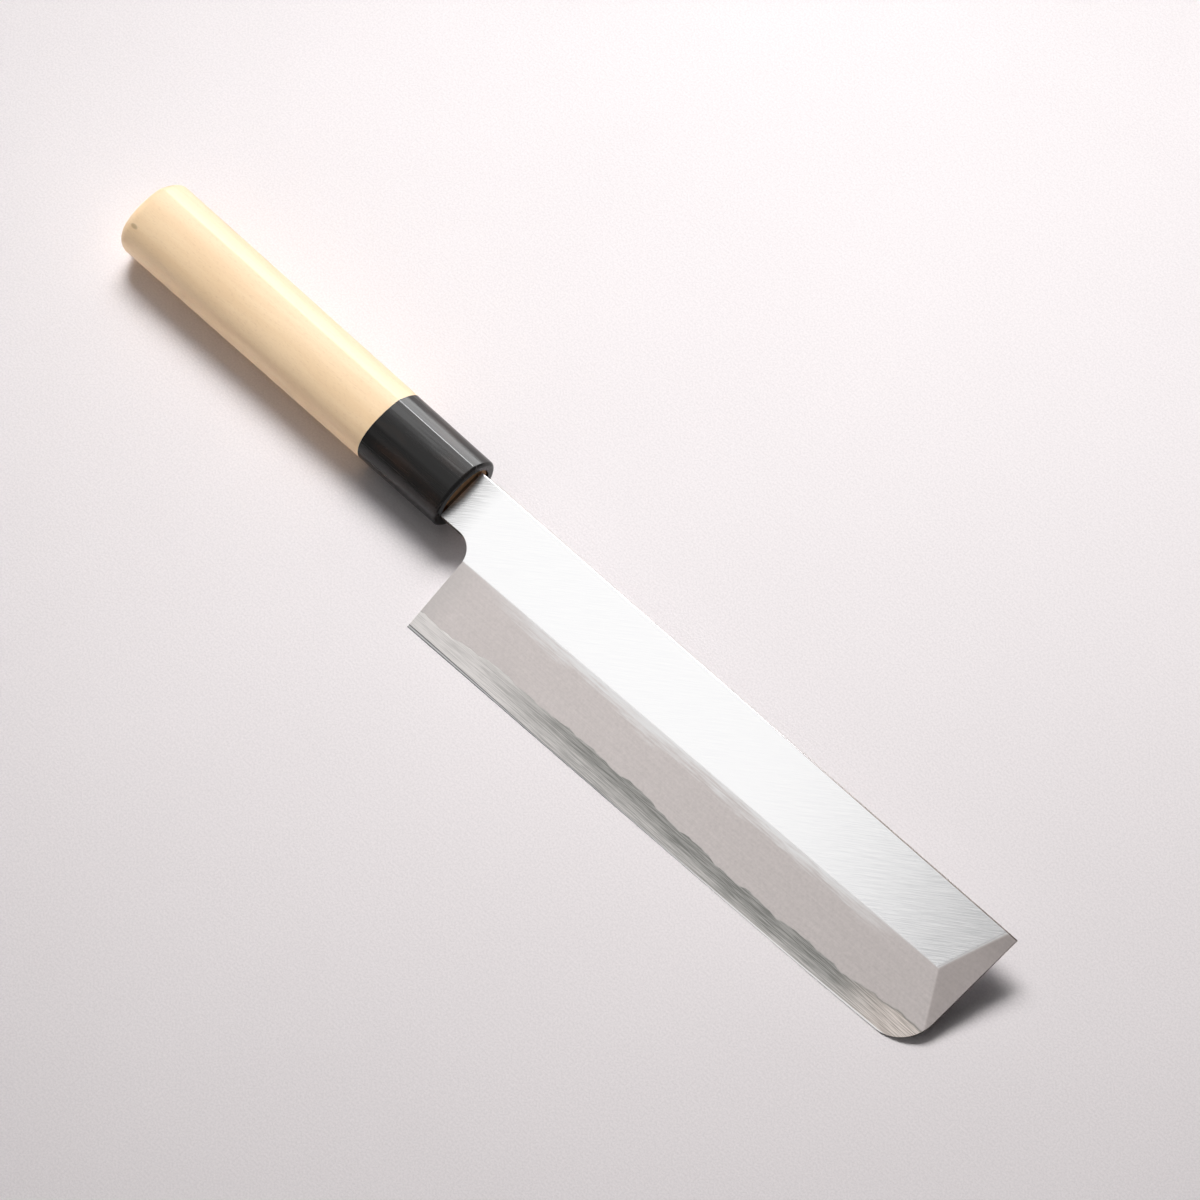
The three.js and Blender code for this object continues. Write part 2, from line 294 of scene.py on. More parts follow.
def spine_drop(inset):
    """How far the rounding of the spine lowers a face at a distance below the spine."""
    lean = clamp(SPINE_ROUNDING - inset, 0.0, SPINE_ROUNDING)
    return SPINE_ROUNDING - math.sqrt(SPINE_ROUNDING**2 - lean**2)


def face_z(x, y):
    """Upper side of the blade."""
    hone = hone_at(x)
    if y < hone:
        return bevel_z(x, hone) - (hone - y) * HONE_SLOPE
    ground = soft_min(soft_min(bevel_z(x, y), flat_z(x, y)), facet_z(x, y))
    return ground - spine_drop(spine_at(x) - y)


def back_z(x, y):
    """Hollow back of the blade."""
    start = -HOLLOW_NECK_REACH
    end = BLADE_LENGTH - HOLLOW_TIP_RIM
    low = edge_at(x) + HOLLOW_EDGE_RIM
    share = (y - low) / (spine_at(x) - HOLLOW_SPINE_RIM - low)
    rim = HOLLOW_DEPTH * HOLLOW_RIM_SHARE
    fade = clamp(min(x - start, end - x) / HOLLOW_RUNOUT)
    depth = (HOLLOW_DEPTH + rim) * math.sin(fade * math.pi / 2)
    hollow = max(0.0, 4 * depth * share * (1 - share) - rim)
    return hollow + spine_drop(spine_at(x) - y)


def facet_depth(x, y):
    """How far the tip facet cuts below the bevel and the flat."""
    return min(bevel_z(x, y), flat_z(x, y)) - facet_z(x, y)


def hone_share(x, y):
    """Place across the honed strip, from 0 at the edge to 1 at its top."""
    return (y - edge_at(x)) / (hone_at(x) - edge_at(x))


def under_weld(x, y):
    """Distance below the weld line."""
    return weld_line_at(x) - y


def weld_z(x, y):
    """Hidden upper side of the steel, under the iron."""
    return min(bevel_z(x, weld_line_at(x)), WELD_SEAT_SHARE * face_z(x, y))


def ridge_x(row, end):
    """X at which the tip facet starts on a row, or the row's end where it has none."""
    low = end - RIDGE_SEARCH_WIDTHS * TIP_BEVEL_WIDTH
    high = end
    if facet_z(end, row(end)) >= min(bevel_z(end, row(end)), flat_z(end, row(end))):
        return end
    for _ in range(RIDGE_SEARCH_ROUNDS):
        middle = (low + high) / 2
        y = row(middle)
        if facet_z(middle, y) < min(bevel_z(middle, y), flat_z(middle, y)):
            high = middle
        else:
            low = middle
    return high


# Rows of the blade's mesh, each a height as a function of X
def between(low, high, share):
    return lambda x: lerp(low(x), high(x), share)


def offset(line, distance):
    return lambda x: line(x) + distance


def corner_shares(low, high, count):
    """Shares between two heights that divide the round tip corner evenly."""
    first = math.acos(1 - low / TIP_RADIUS)
    last = math.acos(1 - high / TIP_RADIUS)
    turns = [lerp(first, last, step / count) for step in range(1, count)]
    return [(TIP_RADIUS * (1 - math.cos(turn)) - low) / (high - low) for turn in turns]


def blade_rows():
    """Rows from the edge to the spine, with the places of the lines in them."""
    weld_rise = weld_line_at(BLADE_LENGTH) - EDGE_LIFT
    rows = [edge_at]
    rows += [between(edge_at, hone_at, share) for share in corner_shares(0, TIP_HONE, HONE_ROWS)]
    places = {"hone": len(rows)}
    rows.append(hone_at)
    steel_shares = corner_shares(TIP_HONE, weld_rise, STEEL_ROWS)
    rows += [between(hone_at, weld_line_at, share) for share in steel_shares]
    places["weld"] = len(rows)
    rows.append(weld_line_at)
    corner_share = (TIP_RADIUS - weld_rise) / (SHINOGI_HEIGHT - EDGE_LIFT - weld_rise)
    for share in corner_shares(weld_rise, TIP_RADIUS, CORNER_ROWS):
        rows.append(between(weld_line_at, shinogi_at, share * corner_share))
    ridge_foot = offset(shinogi_at, RIDGE_OFFSETS[0])
    for step in range(BEVEL_ROWS):
        rows.append(between(weld_line_at, ridge_foot, lerp(corner_share, 1, step / BEVEL_ROWS)))
    rows += [offset(shinogi_at, distance) for distance in RIDGE_OFFSETS]
    ridge_head = SHINOGI_HEIGHT + RIDGE_OFFSETS[-1]
    first_turn = math.asin((ridge_head - fillet_y) / NECK_FILLET)
    last_turn = math.asin((neck_corner_y - fillet_y) / NECK_FILLET)
    flat_height = shoulder_at(steel_end_x) - SHINOGI_HEIGHT
    for step in range(1, FILLET_ROWS + 1):
        turn = lerp(first_turn, last_turn, step / FILLET_ROWS)
        height = fillet_y + NECK_FILLET * math.sin(turn)
        rows.append(between(shinogi_at, shoulder_at, (height - SHINOGI_HEIGHT) / flat_height))
    places["neck"] = len(rows) - 1
    corner_row = rows[-1]
    rim = offset(spine_at, -HOLLOW_SPINE_RIM)
    rows += [between(corner_row, rim, step / FLAT_ROWS) for step in range(1, FLAT_ROWS + 1)]
    rows.append(between(rim, shoulder_at, RIM_ROW_SHARE))
    for step in range(SPINE_STEPS + 1):
        turn = math.pi / 2 * step / SPINE_STEPS
        rows.append(offset(spine_at, SPINE_ROUNDING * (math.sin(turn) - 1)))
    return rows, places


def row_stations(row):
    """X values of a row's points, from the heel end over the ridge of the facet to the tip end."""
    start = 0.0
    end = BLADE_LENGTH
    for _ in range(ROW_END_ROUNDS):
        start = heel_end_at(row(start))
        end = tip_end_at(row(end))
    ridge = ridge_x(row, end)
    foot = ridge + RIDGE_OFFSETS[0]
    head = min(ridge + RIDGE_OFFSETS[-1], end)
    xs = [lerp(start, foot, step / BODY_COLUMNS) for step in range(BODY_COLUMNS)]
    xs += [min(ridge + distance, end) for distance in RIDGE_OFFSETS]
    xs += [lerp(head, end, step / FACET_COLUMNS) for step in range(1, FACET_COLUMNS + 1)]
    return xs


class Skin:
    """A mesh in the making, from grids and strips of points. Marks are measures kept on each point."""

    def __init__(self, **marks):
        self.mesh = bmesh.new()
        self.marks = {self.mesh.verts.layers.float.new(name): measure for name, measure in marks.items()}

    def point(self, place):
        made = self.mesh.verts.new(Vector(place) * MM)
        for layer, measure in self.marks.items():
            made[layer] = measure(place[0], place[1])
        return made

    def points(self, grid):
        return [[self.point(place) for place in row] for row in grid]

    def face(self, corners, finish):
        made = self.mesh.faces.new(corners)
        made.material_index = finish
        made.smooth = True

    def strip(self, first, second, finish):
        """Faces between two rows of points."""
        for step in range(len(first) - 1):
            self.face((first[step], first[step + 1], second[step + 1], second[step]), finish)

    def sheet(self, grid, finish_at):
        """Faces of a grid, with the finish of each given by its row and column."""
        for row in range(len(grid) - 1):
            for column in range(len(grid[row]) - 1):
                corners = (
                    grid[row][column],
                    grid[row][column + 1],
                    grid[row + 1][column + 1],
                    grid[row + 1][column],
                )
                self.face(corners, finish_at(row, column))

    def loft(self, rings, finishes):
        """Faces round a row of closed rings, one finish for each gap between rings."""
        for ring, next_ring, finish in zip(rings, rings[1:], finishes):
            self.strip(ring + ring[:1], next_ring + next_ring[:1], finish)

    def piece(self, name, finishes, place):
        """Closes the work and returns it as an object."""
        bmesh.ops.remove_doubles(self.mesh, verts=self.mesh.verts, dist=MERGE_DISTANCE)
        bmesh.ops.recalc_face_normals(self.mesh, faces=self.mesh.faces)
        data = bpy.data.meshes.new(name)
        self.mesh.to_mesh(data)
        self.mesh.free()
        data.set_sharp_from_angle(angle=SHARP_ANGLE)
        for finish in finishes:
            data.materials.append(finish)
        piece = bpy.data.objects.new(name, data)
        bpy.context.scene.collection.objects.link(piece)
        piece.matrix_world = place
        return piece


def column_of(grid, column):
    return [row[column] for row in grid]


def weigh_normals(piece):
    """Keeps the flats flat beside their narrow roundings."""
    modifier = piece.modifiers.new("flat_faces", "WEIGHTED_NORMAL")
    modifier.mode = "FACE_AREA"
    modifier.weight = FLAT_WEIGHT
    modifier.keep_sharp = True


# Sockets of the Mix node for colours
MIX_SHARE = 0
MIX_FIRST = 6
MIX_SECOND = 7
MIX_RESULT = 2


# Shader sums
class Tone:
    """A socket of a finish. Sums and products of tones add Math nodes."""

    def __init__(self, finish, socket):
        self.finish = finish
        self.socket = socket

    def sum(self, operation, first, second):
        return self.finish.node("ShaderNodeMath", {"operation": operation}, {0: first, 1: second})

    def __add__(self, other):
        return self.sum("ADD", self, other)

    def __radd__(self, other):
        return self.sum("ADD", other, self)

    def __sub__(self, other):
        return self.sum("SUBTRACT", self, other)

    def __rsub__(self, other):
        return self.sum("SUBTRACT", other, self)

    def __mul__(self, other):
        return self.sum("MULTIPLY", self, other)

    def __truediv__(self, other):
        return self.sum("DIVIDE", self, other)

    def over(self, other):
        return self.sum("MAXIMUM", self, other)


class Finish:
    """A procedural material, with the knife's own coordinates in millimetres."""

    def __init__(self, name, **constants):
        self.material = bpy.data.materials.new(name)
        self.material.use_nodes = True
        self.tree = self.material.node_tree
        self.shader = self.tree.nodes["Principled BSDF"]
        for socket, value in constants.items():
            self.shader.inputs[socket.replace("_", " ")].default_value = value
        place = self.node("ShaderNodeTexCoord", {}, {}, "Object")
        self.place = self.node("ShaderNodeVectorMath", {"operation": "SCALE"}, {0: place, "Scale": 1 / MM})
        self.x = self.node("ShaderNodeSeparateXYZ", {}, {0: self.place}, "X")
        self.y = self.node("ShaderNodeSeparateXYZ", {}, {0: self.place}, "Y")
        self.z = self.node("ShaderNodeSeparateXYZ", {}, {0: self.place}, "Z")

    def node(self, kind, settings, sockets, output=0):
        """Adds a node: its settings first, then the values or links of its sockets."""
        made = self.tree.nodes.new(kind)
        for setting, value in settings.items():
            setattr(made, setting, value)
        for socket, value in sockets.items():
            if isinstance(value, Tone):
                self.tree.links.new(value.socket, made.inputs[socket])
            else:
                made.inputs[socket].default_value = value
        return Tone(self, made.outputs[output])

    def feed(self, socket, tone):
        self.tree.links.new(tone.socket, self.shader.inputs[socket])

    def mark(self, name):
        """A measure kept on the points of the mesh."""
        return self.node("ShaderNodeAttribute", {"attribute_name": name}, {}, "Fac")

    def vector(self, x, y, z=0.0):
        return self.node("ShaderNodeCombineXYZ", {}, {0: x, 1: y, 2: z})

    def noise(self, vector, scale, detail, roughness=0.5):
        sockets = {"Vector": vector, "Scale": scale, "Detail": detail, "Roughness": roughness}
        return self.node("ShaderNodeTexNoise", {}, sockets)

    def rise(self, tone, low, high):
        """Smooth step from 0 at low to 1 at high."""
        sockets = {"Value": tone, "From Min": low, "From Max": high}
        return self.node("ShaderNodeMapRange", {"interpolation_type": "SMOOTHSTEP"}, sockets)

    def blend(self, share, first, second):
        """Colour that goes from first to second."""
        colours = [c if isinstance(c, Tone) else (*c, 1.0) for c in (first, second)]
        sockets = {MIX_SHARE: share, MIX_FIRST: colours[0], MIX_SECOND: colours[1]}
        return self.node("ShaderNodeMix", {"data_type": "RGBA"}, sockets, MIX_RESULT)

    def relief(self, height, depth, strength):
        """Bump of a height from 0 to 1 that stands for a depth in millimetres."""
        sockets = {"Strength": strength, "Distance": depth * MM, "Height": height}
        self.feed("Normal", self.node("ShaderNodeBump", {}, sockets))


# Scratches of the blade: the slant on the flat, and how often they repeat per millimetre
SCRATCH_SLANT = math.radians(33)
HAIR_ALONG = 0.1
HAIR_ACROSS = 3.4

# Where the blade's finishes and its painted shades and highlights change: spans in X from the heel, and
# heights in Y from the edge
NECK_SHADE_LENGTH = 11.0
DIMMED_FLAT_SPAN = (105, 190)
CREST_START_SPAN = (5, 40)
CREST_END_SPAN = (140, 180)
BEVEL_TONE_SPAN = (30, 195)
HEEL_SHADE_SPAN = (0, 9)
FACET_DARKENING_HEIGHTS = (30, 46)
HEEL_SHEEN_SPAN = (5, 75)
TAN_TIP_SPAN = (160, 186)
EDGE_GLINT_SPAN = (70, 140)
SPINE_SHADE_SPAN = (80, 150)


def ground_iron():
    """Upper face of the iron: slanted grind on the flat, matt haze on the bevel and on the tip facet, with
    painted shade next to the ferrule, at the heel end of the bevel and towards the tip of the flat, and a
    painted highlight along the facet's ridge.
    """
    iron = Finish("ground_iron")
    cut = iron.mark("facet_depth")
    facet = iron.rise(cut, -0.14, 0.12)
    ridge = 1 - iron.rise(cut.over(0 - cut), 0.0, 0.14)
    below = SHINOGI_HEIGHT - iron.y

    # Painted shade: next to the ferrule the flat is darkened, standing in for the ferrule's shadow and its
    # dark reflection on the neck.
    neck = 1 - iron.rise(iron.x - neck_x, 0.0, NECK_SHADE_LENGTH)
    sway = iron.noise(iron.place, 0.05, 2.0)
    along = iron.x * math.cos(SCRATCH_SLANT) + iron.y * math.sin(SCRATCH_SLANT)
    across = iron.y * math.cos(SCRATCH_SLANT) - iron.x * math.sin(SCRATCH_SLANT) + sway * 0.5
    hairs = iron.noise(iron.vector(along * HAIR_ALONG, across * HAIR_ACROSS), 1.0, 2.0, 0.6)
    lines = iron.rise(hairs, 0.3, 0.7)
    # Painted shade: the flat's colour darkens towards the tip and at the neck, standing in for the dimmer
    # reflection there; the hairlines show more there.
    dimmed = iron.rise(iron.x, *DIMMED_FLAT_SPAN).over(neck)
    bright = iron.blend(dimmed, (0.895, 0.896, 0.898), (0.76, 0.764, 0.768))
    bright = iron.blend(lines, bright, (0.93, 0.93, 0.925))
    bright = iron.blend(neck * (0.7 - lines * 0.5), bright, (0.42, 0.42, 0.415))

    streaks = iron.noise(iron.vector(iron.x * 0.05, iron.y * 1.6), 1.0, 4.0, 0.65)
    blast = iron.noise(iron.place, 1.0, 3.0, 0.7)
    patches = iron.noise(iron.vector(iron.x * 0.045, iron.y * 0.2), 1.0, 2.0)
    scuffs = iron.noise(iron.vector(iron.x * 0.11, iron.y * 1.7), 1.0, 3.0, 0.65)
    crest = 1 - iron.rise(below + (0.5 - patches) * 7 + (0.5 - scuffs) * 8, -0.6, 4.4)
    crest = crest * iron.rise(iron.x, *CREST_START_SPAN) * (1 - iron.rise(iron.x, *CREST_END_SPAN))
    crest = crest * (0.3 + scuffs)
    haze = facet.over(iron.rise(below, -0.1, 0.35) * (1 - crest * 0.6))
    # The bevel's colour is lighter towards the heel.
    heelward = 1 - iron.rise(iron.x, *BEVEL_TONE_SPAN)
    # Painted highlight: ridge lightens the bevel along the ridge of the tip facet.
    shade = streaks * 0.4 + blast * 0.6 + heelward * 0.2 + ridge * 0.3 - 0.22
    matt = iron.blend(shade, (0.58, 0.53, 0.512), (0.95, 0.877, 0.852))
    matt = iron.blend(crest, matt, (1.0, 0.985, 0.97))
    # Painted shade at the heel end of the bevel.
    corner = 1 - iron.rise(iron.x + (scuffs - 0.5) * 6, *HEEL_SHADE_SPAN)
    matt = iron.blend(corner * 0.4, matt, (0.6, 0.57, 0.55))
    fray = iron.rise(iron.mark("under_weld") + (streaks - 0.5) * 1.6, -0.45, 0.25)
    matt = iron.blend(fray * (0.6 - heelward * 0.3), matt, (0.4, 0.395, 0.375))
    # The tip facet's colour darkens towards the spine.
    toward_spine = iron.rise(iron.y, *FACET_DARKENING_HEIGHTS) * 0.4
    dull = iron.blend(streaks * 0.4 + blast * 0.6 - toward_spine, (0.425, 0.38, 0.363), (0.695, 0.627, 0.604))

    iron.feed("Base Color", iron.blend(haze, bright, iron.blend(facet, matt, dull)))
    iron.feed("Metallic", 1 - haze * 0.5)
    iron.feed("Roughness", 0.16 + hairs * 0.06 + neck * (1 - haze) * 0.1 + haze * 0.38)
    iron.relief(hairs * (1 - haze) * (0.4 + dimmed * 0.6) + (streaks + blast) * haze * 0.5, 0.018, 0.8)
    return iron.material


def honed_steel():
    """Band of hard steel: darkest under the weld line, streaked along its length, with a painted sheen at
    the heel.
    """
    steel = Finish("honed_steel", Metallic=1.0)
    drift = steel.noise(steel.vector(steel.x * 0.02, steel.y * 0.8), 1.0, 2.0)
    fine_streaks = steel.noise(steel.vector(steel.x * HAIR_ALONG, steel.y * HAIR_ACROSS), 1.0, 3.0, 0.6)
    lines = steel.rise(fine_streaks, 0.34, 0.66)
    low = steel.rise(steel.mark("under_weld") + (drift - 0.5) * 6, 1.8, 6.0)
    # Painted sheen: the band's colour lightens at the heel, standing in for its brighter reflection there.
    heel = 1 - steel.rise(steel.x, *HEEL_SHEEN_SPAN)
    tip = steel.rise(steel.x, *TAN_TIP_SPAN)
    light = lines * 0.42 + low * (0.32 - heel * 0.2) + heel * 0.77 - 0.08
    grey = steel.blend(light, (0.26, 0.26, 0.242), (0.95, 0.91, 0.88))
    tan = steel.blend(lines, (0.5, 0.44, 0.395), (0.95, 0.87, 0.81))
    colour = steel.blend(tip, grey, tan)
    seam = 1 - steel.rise(steel.mark("under_weld"), 0.15, 0.6)
    steel.feed("Base Color", steel.blend(seam * tip * 0.7, colour, (0.26, 0.25, 0.23)))
    steel.feed("Roughness", 0.28 + lines * 0.1)
    steel.relief(fine_streaks, 0.012, 0.5)
    return steel.material


def honed_edge():
    """Last honed strip: painted shade as a dark line at the heel, a painted highlight strip inside it
    there, and a painted glint that brightens towards the tip.
    """
    steel = Finish("honed_edge", Metallic=1.0)
    # Painted glint: the strip's colour brightens towards the tip; at the heel its dark lines are painted
    # shade and the light strip between them a painted highlight.
    tipward = steel.rise(steel.x, *EDGE_GLINT_SPAN)
    share = steel.mark("hone_share")
    heelward = steel.rise(share, 0.1, 0.4) * (1 - steel.rise(share, 0.6, 0.85)) * (1 - tipward)
    streaks = steel.noise(steel.vector(steel.x * 0.1, steel.y * 6), 1.0, 3.0)
    light = tipward * 0.85 + heelward * 0.7 + streaks * 0.15
    steel.feed("Base Color", steel.blend(light, (0.12, 0.12, 0.13), (0.98, 0.97, 0.95)))
    steel.feed("Roughness", 0.36 - tipward * 0.14)
    steel.relief(streaks, 0.005, 0.3)
    return steel.material


def hollow_back():
    """Hollow-ground back, with grinding marks across it and a honed rim."""
    steel = Finish("hollow_back", Metallic=1.0)
    marks = steel.noise(steel.vector(steel.x * 2.4, steel.y * 0.06), 1.0, 4.0, 0.6)
    steel.feed("Base Color", steel.blend(marks, (0.52, 0.53, 0.54), (0.8, 0.8, 0.8)))
    steel.feed("Roughness", 0.24 + marks * 0.16)
    steel.relief(marks, 0.012, 0.35)
    return steel.material


def ground_spine():
    """Spine and its rounding, ground along the blade, with painted shade that darkens it towards the tip.
    """
    steel = Finish("ground_spine", Metallic=1.0)
    marks = steel.noise(steel.vector(steel.x * 0.03, steel.y * 2, steel.z * 4), 1.0, 3.0)
    # Painted shade: the spine's colour darkens towards the tip.
    unshaded = steel.blend(marks, (0.36, 0.35, 0.36), (0.54, 0.53, 0.535))
    shaded = steel.blend(marks, (0.12, 0.1, 0.09), (0.2, 0.165, 0.145))
    steel.feed("Base Color", steel.blend(steel.rise(steel.x, *SPINE_SHADE_SPAN), unshaded, shaded))
    steel.feed("Roughness", 0.3 + marks * 0.1)
    steel.relief(marks, 0.004, 0.3)
    return steel.material


def worked_sides():
    """Heel, notch and tip ends, worked by file, in a dark brown that is painted reflection of the wood and
    painted shade.
    """
    steel = Finish("worked_sides", Metallic=1.0)
    marks = steel.noise(steel.vector(steel.x * 0.08, steel.y * 0.08, steel.z * 6), 1.0, 3.0)
    # Painted reflection and shade: the dark brown stands in for the mirrored wood and the shaded table.
    steel.feed("Base Color", steel.blend(marks, (0.16, 0.12, 0.09), (0.34, 0.29, 0.25)))
    steel.feed("Roughness", 0.32 + marks * 0.12)
    steel.relief(marks, 0.01, 0.3)
    return steel.material


KNOT_PLACE = (-145.7, 35.75, 10.5)
KNOT_SIZE = (1.6, 0.8, 3.0)


def pale_wood():
    """Handle wood: satin, cream, with faint figure, short flecks and one pin knot near the butt."""
    wood = Finish("pale_wood")
    sway = wood.noise(wood.place, 0.03, 2.0)
    figure = wood.noise(wood.vector(wood.x * 0.02, wood.y * 0.35 + sway * 2, wood.z * 0.35), 1.0, 3.0)
    grain = wood.noise(wood.vector(wood.x * 0.06, wood.y * 1.2, wood.z * 1.2), 1.0, 5.0, 0.65)
    flecks = wood.noise(wood.vector(wood.x * 0.8, wood.y * 2.6, wood.z * 2.6), 1.0, 3.0, 0.6)
    tone = wood.rise(figure, 0.3, 0.7) * 0.4 + grain * 0.6
    colour = wood.blend(tone, (0.96, 0.735, 0.485), (0.87, 0.61, 0.36))
    colour = wood.blend(wood.rise(flecks, 0.5, 0.75) * 0.4, colour, (0.72, 0.48, 0.27))
    axes = zip((wood.x, wood.y, wood.z), KNOT_PLACE, KNOT_SIZE)
    reach = [(along - centre) / size for along, centre, size in axes]
    knot = 1 - wood.rise(reach[0] * reach[0] + reach[1] * reach[1] + reach[2] * reach[2], 0.1, 1.0)
    wood.feed("Base Color", wood.blend(knot * 0.5, colour, (0.34, 0.21, 0.09)))
    wood.feed("Roughness", 0.34 + grain * 0.12 + flecks * 0.1)
    wood.relief(flecks * 0.5 + grain * 0.5, 0.02, 0.35)
    return wood.material


def scorched_wood():
    """End of the tenon, darkened by the burning-in of the tang."""
    wood = Finish("scorched_wood")
    grain = wood.noise(wood.place, 2.5, 4.0)
    wood.feed("Base Color", wood.blend(grain, (0.28, 0.14, 0.05), (0.54, 0.31, 0.15)))
    wood.feed("Roughness", 0.6 + grain * 0.2)
    wood.relief(grain, 0.1, 0.4)
    return wood.material


def dark_horn():
    """Polished horn, black with faint brown streaks."""
    horn = Finish("dark_horn", IOR=1.48, Specular_IOR_Level=0.36)
    fibre = horn.noise(horn.vector(horn.x * 0.03, horn.y * 0.9, horn.z * 0.9), 1.0, 2.0)
    cloud = horn.noise(horn.vector(horn.x * 0.05, horn.y * 0.16, horn.z * 0.16), 1.0, 2.0)
    brown = horn.rise(cloud, 0.45, 0.75) * (0.5 + fibre * 0.5)
    horn.feed("Base Color", horn.blend(brown, (0.005, 0.0045, 0.004), (0.03, 0.016, 0.01)))
    horn.feed("Roughness", 0.1 + horn.rise(fibre, 0.35, 0.7) * 0.2)
    horn.relief(fibre, 0.01, 0.2)
    return horn.material


def table_paper():
    """Pale matt paper under the knife."""
    paper = Finish("table_paper")
    grain = paper.noise(paper.place, 1.6, 4.0, 0.7)
    cloud = paper.noise(paper.place, 0.012, 2.0)
    tint = paper.rise(grain, 0.32, 0.68) * 0.75 + cloud * 0.25
    paper.feed("Base Color", paper.blend(tint, (0.79, 0.742, 0.752), (0.92, 0.865, 0.873)))
    paper.feed("Roughness", 0.85 + grain * 0.1)
    paper.relief(grain, 0.12, 0.6)
    return paper.material


# Blade
knife_place = Matrix.Translation(Vector(KNIFE_SHIFT) * MM) @ Matrix.Rotation(ROLL, 4, "X")
rows, places = blade_rows()
stations = [row_stations(row) for row in rows]
plan = [[(x, row(x)) for x in xs] for row, xs in zip(rows, stations)]
side_finish = worked_sides()
spine_finish = ground_spine()


def hard_steel_layer():
    """Steel plate from the honed edge over the hidden weld to the hollow back."""
    band, edge, hollow, side, spine = range(5)
    skin = Skin(under_weld=under_weld, hone_share=hone_share)
    face = []
    for number, row in enumerate(plan):
        height = face_z if number <= places["weld"] else weld_z
        face.append([(x, y, height(x, y)) for x, y in row])
    top = skin.points(face)
    back = skin.points([[(x, y, min(back_z(x, y), z)) for x, y, z in row] for row in face])
    skin.sheet(top, lambda row, column: edge if row < places["hone"] else band)
    skin.sheet(back, lambda row, column: hollow)
    skin.strip(top[0], back[0], edge)
    skin.strip(top[-1], back[-1], spine)
    skin.strip(column_of(top, 0), column_of(back, 0), side)
    skin.strip(column_of(top, -1), column_of(back, -1), side)
    finishes = (honed_steel(), honed_edge(), hollow_back(), side_finish, spine_finish)
    return skin.piece("hagane_plate", finishes, knife_place)


def neck_plan():
    """Points of the neck from the ferrule to the end of the steel, in rows that run on into the blade."""
    first = places["neck"]
    low = rows[first](steel_end_x)
    grid = []
    for row in rows[first:]:
        inset = spine_at(steel_end_x) - row(steel_end_x)
        share = (row(steel_end_x) - low) / (shoulder_at(steel_end_x) - low)
        seat = seat_at(row(neck_x))
        xs = [lerp(seat, steel_end_x, step / NECK_COLUMNS) for step in range(NECK_COLUMNS + 1)]
        if share >= 1:
            grid.append([(x, spine_at(x) - inset) for x in xs])
        else:
            grid.append([(x, lerp(fillet_top_at(x), shoulder_at(x), share)) for x in xs])
    return grid


def soft_iron_body():
    """Iron above the weld, running into the neck and the tang."""
    ground, side, spine = range(3)
    skin = Skin(facet_depth=facet_depth, under_weld=under_weld)
    body = plan[places["weld"]:]
    neck = neck_plan()
    neck_row = places["neck"] - places["weld"]
    face = [[(x, y, face_z(x, y)) for x, y in row] for row in body]
    top = skin.points(face)
    seat = [[(x, y, min(weld_z(x, y) + WELD_GAP, z)) for x, y, z in row] for row in face]
    seat[0] = face[0]
    under = skin.points(seat)
    neck_top = skin.points([[(x, y, face_z(x, y)) for x, y in row] for row in neck])
    neck_back = skin.points([[(x, y, back_z(x, y)) for x, y in row] for row in neck])
    skin.sheet(top, lambda row, column: spine if row >= len(top) - SPINE_STEPS - 1 else ground)
    skin.sheet(under, lambda row, column: side)
    skin.sheet(neck_top, lambda row, column: spine if row >= len(neck_top) - SPINE_STEPS - 1 else ground)
    skin.sheet(neck_back, lambda row, column: side)
    skin.strip(top[-1], under[-1], spine)
    skin.strip(neck_top[-1], neck_back[-1], spine)
    skin.strip(neck_top[0], neck_back[0], side)
    skin.strip(column_of(top, -1), column_of(under, -1), side)
    skin.strip(column_of(top, 0)[: neck_row + 1], column_of(under, 0)[: neck_row + 1], side)
    skin.strip(column_of(under, 0)[neck_row:], column_of(neck_back, -1), side)
    root = column_of(neck_top, 0) + column_of(neck_back, 0)[::-1]
    add_tang(skin, root, side)
    return skin.piece("jigane_body", (ground_iron(), side_finish, spine_finish), knife_place)


handle_front = Matrix.Translation((neck_x, axis_height, AXIS_ABOVE_BACK))
handle_place = handle_front @ Matrix.Rotation(-HANDLE_TILT, 4, "Z")
tang_middle = NECK_SPINE_THICKNESS / 2 - AXIS_ABOVE_BACK


def tang_half_sizes(x, clearance=0.0):
    share = -x / TANG_LENGTH
    half_height = lerp(TANG_ROOT_HEIGHT, TANG_END_HEIGHT, share) / 2 + clearance
    half_thickness = lerp(TANG_ROOT_THICKNESS, TANG_END_THICKNESS, share) / 2 + clearance
    return half_height, half_thickness


def add_tang(skin, root, finish):
    """Closes the neck's rear end with a shoulder and the tang."""
    corners = [(-1, 1), (1, 1), (1, -1), (-1, -1)]
    rings = []
    for x in (JOINT_GAP, -TANG_LENGTH):
        half_height, half_thickness = tang_half_sizes(x)
        ring = [(x, u * half_height, tang_middle + v * half_thickness) for u, v in corners]
        rings.append([tuple(handle_place @ Vector(point)) for point in ring])
    tang = skin.points(rings)
    skin.loft(tang, [finish])
    skin.face(tang[-1], finish)
    loops = []
    for loop in (root, tang[0]):
        for start, end in zip(loop, loop[1:] + loop[:1]):
            loops.append(skin.mesh.edges.get((start, end)) or skin.mesh.edges.new((start, end)))
    bmesh.ops.bridge_loops(skin.mesh, edges=loops)


# Handle
def bezier(start, first_pull, second_pull, end, share):
    rest = 1 - share
    weights = (rest**3, 3 * rest**2 * share, 3 * rest * share**2, share**3)
    points = (start, first_pull, second_pull, end)
    return tuple(sum(w * p[axis] for w, p in zip(weights, points)) for axis in (0, 1))


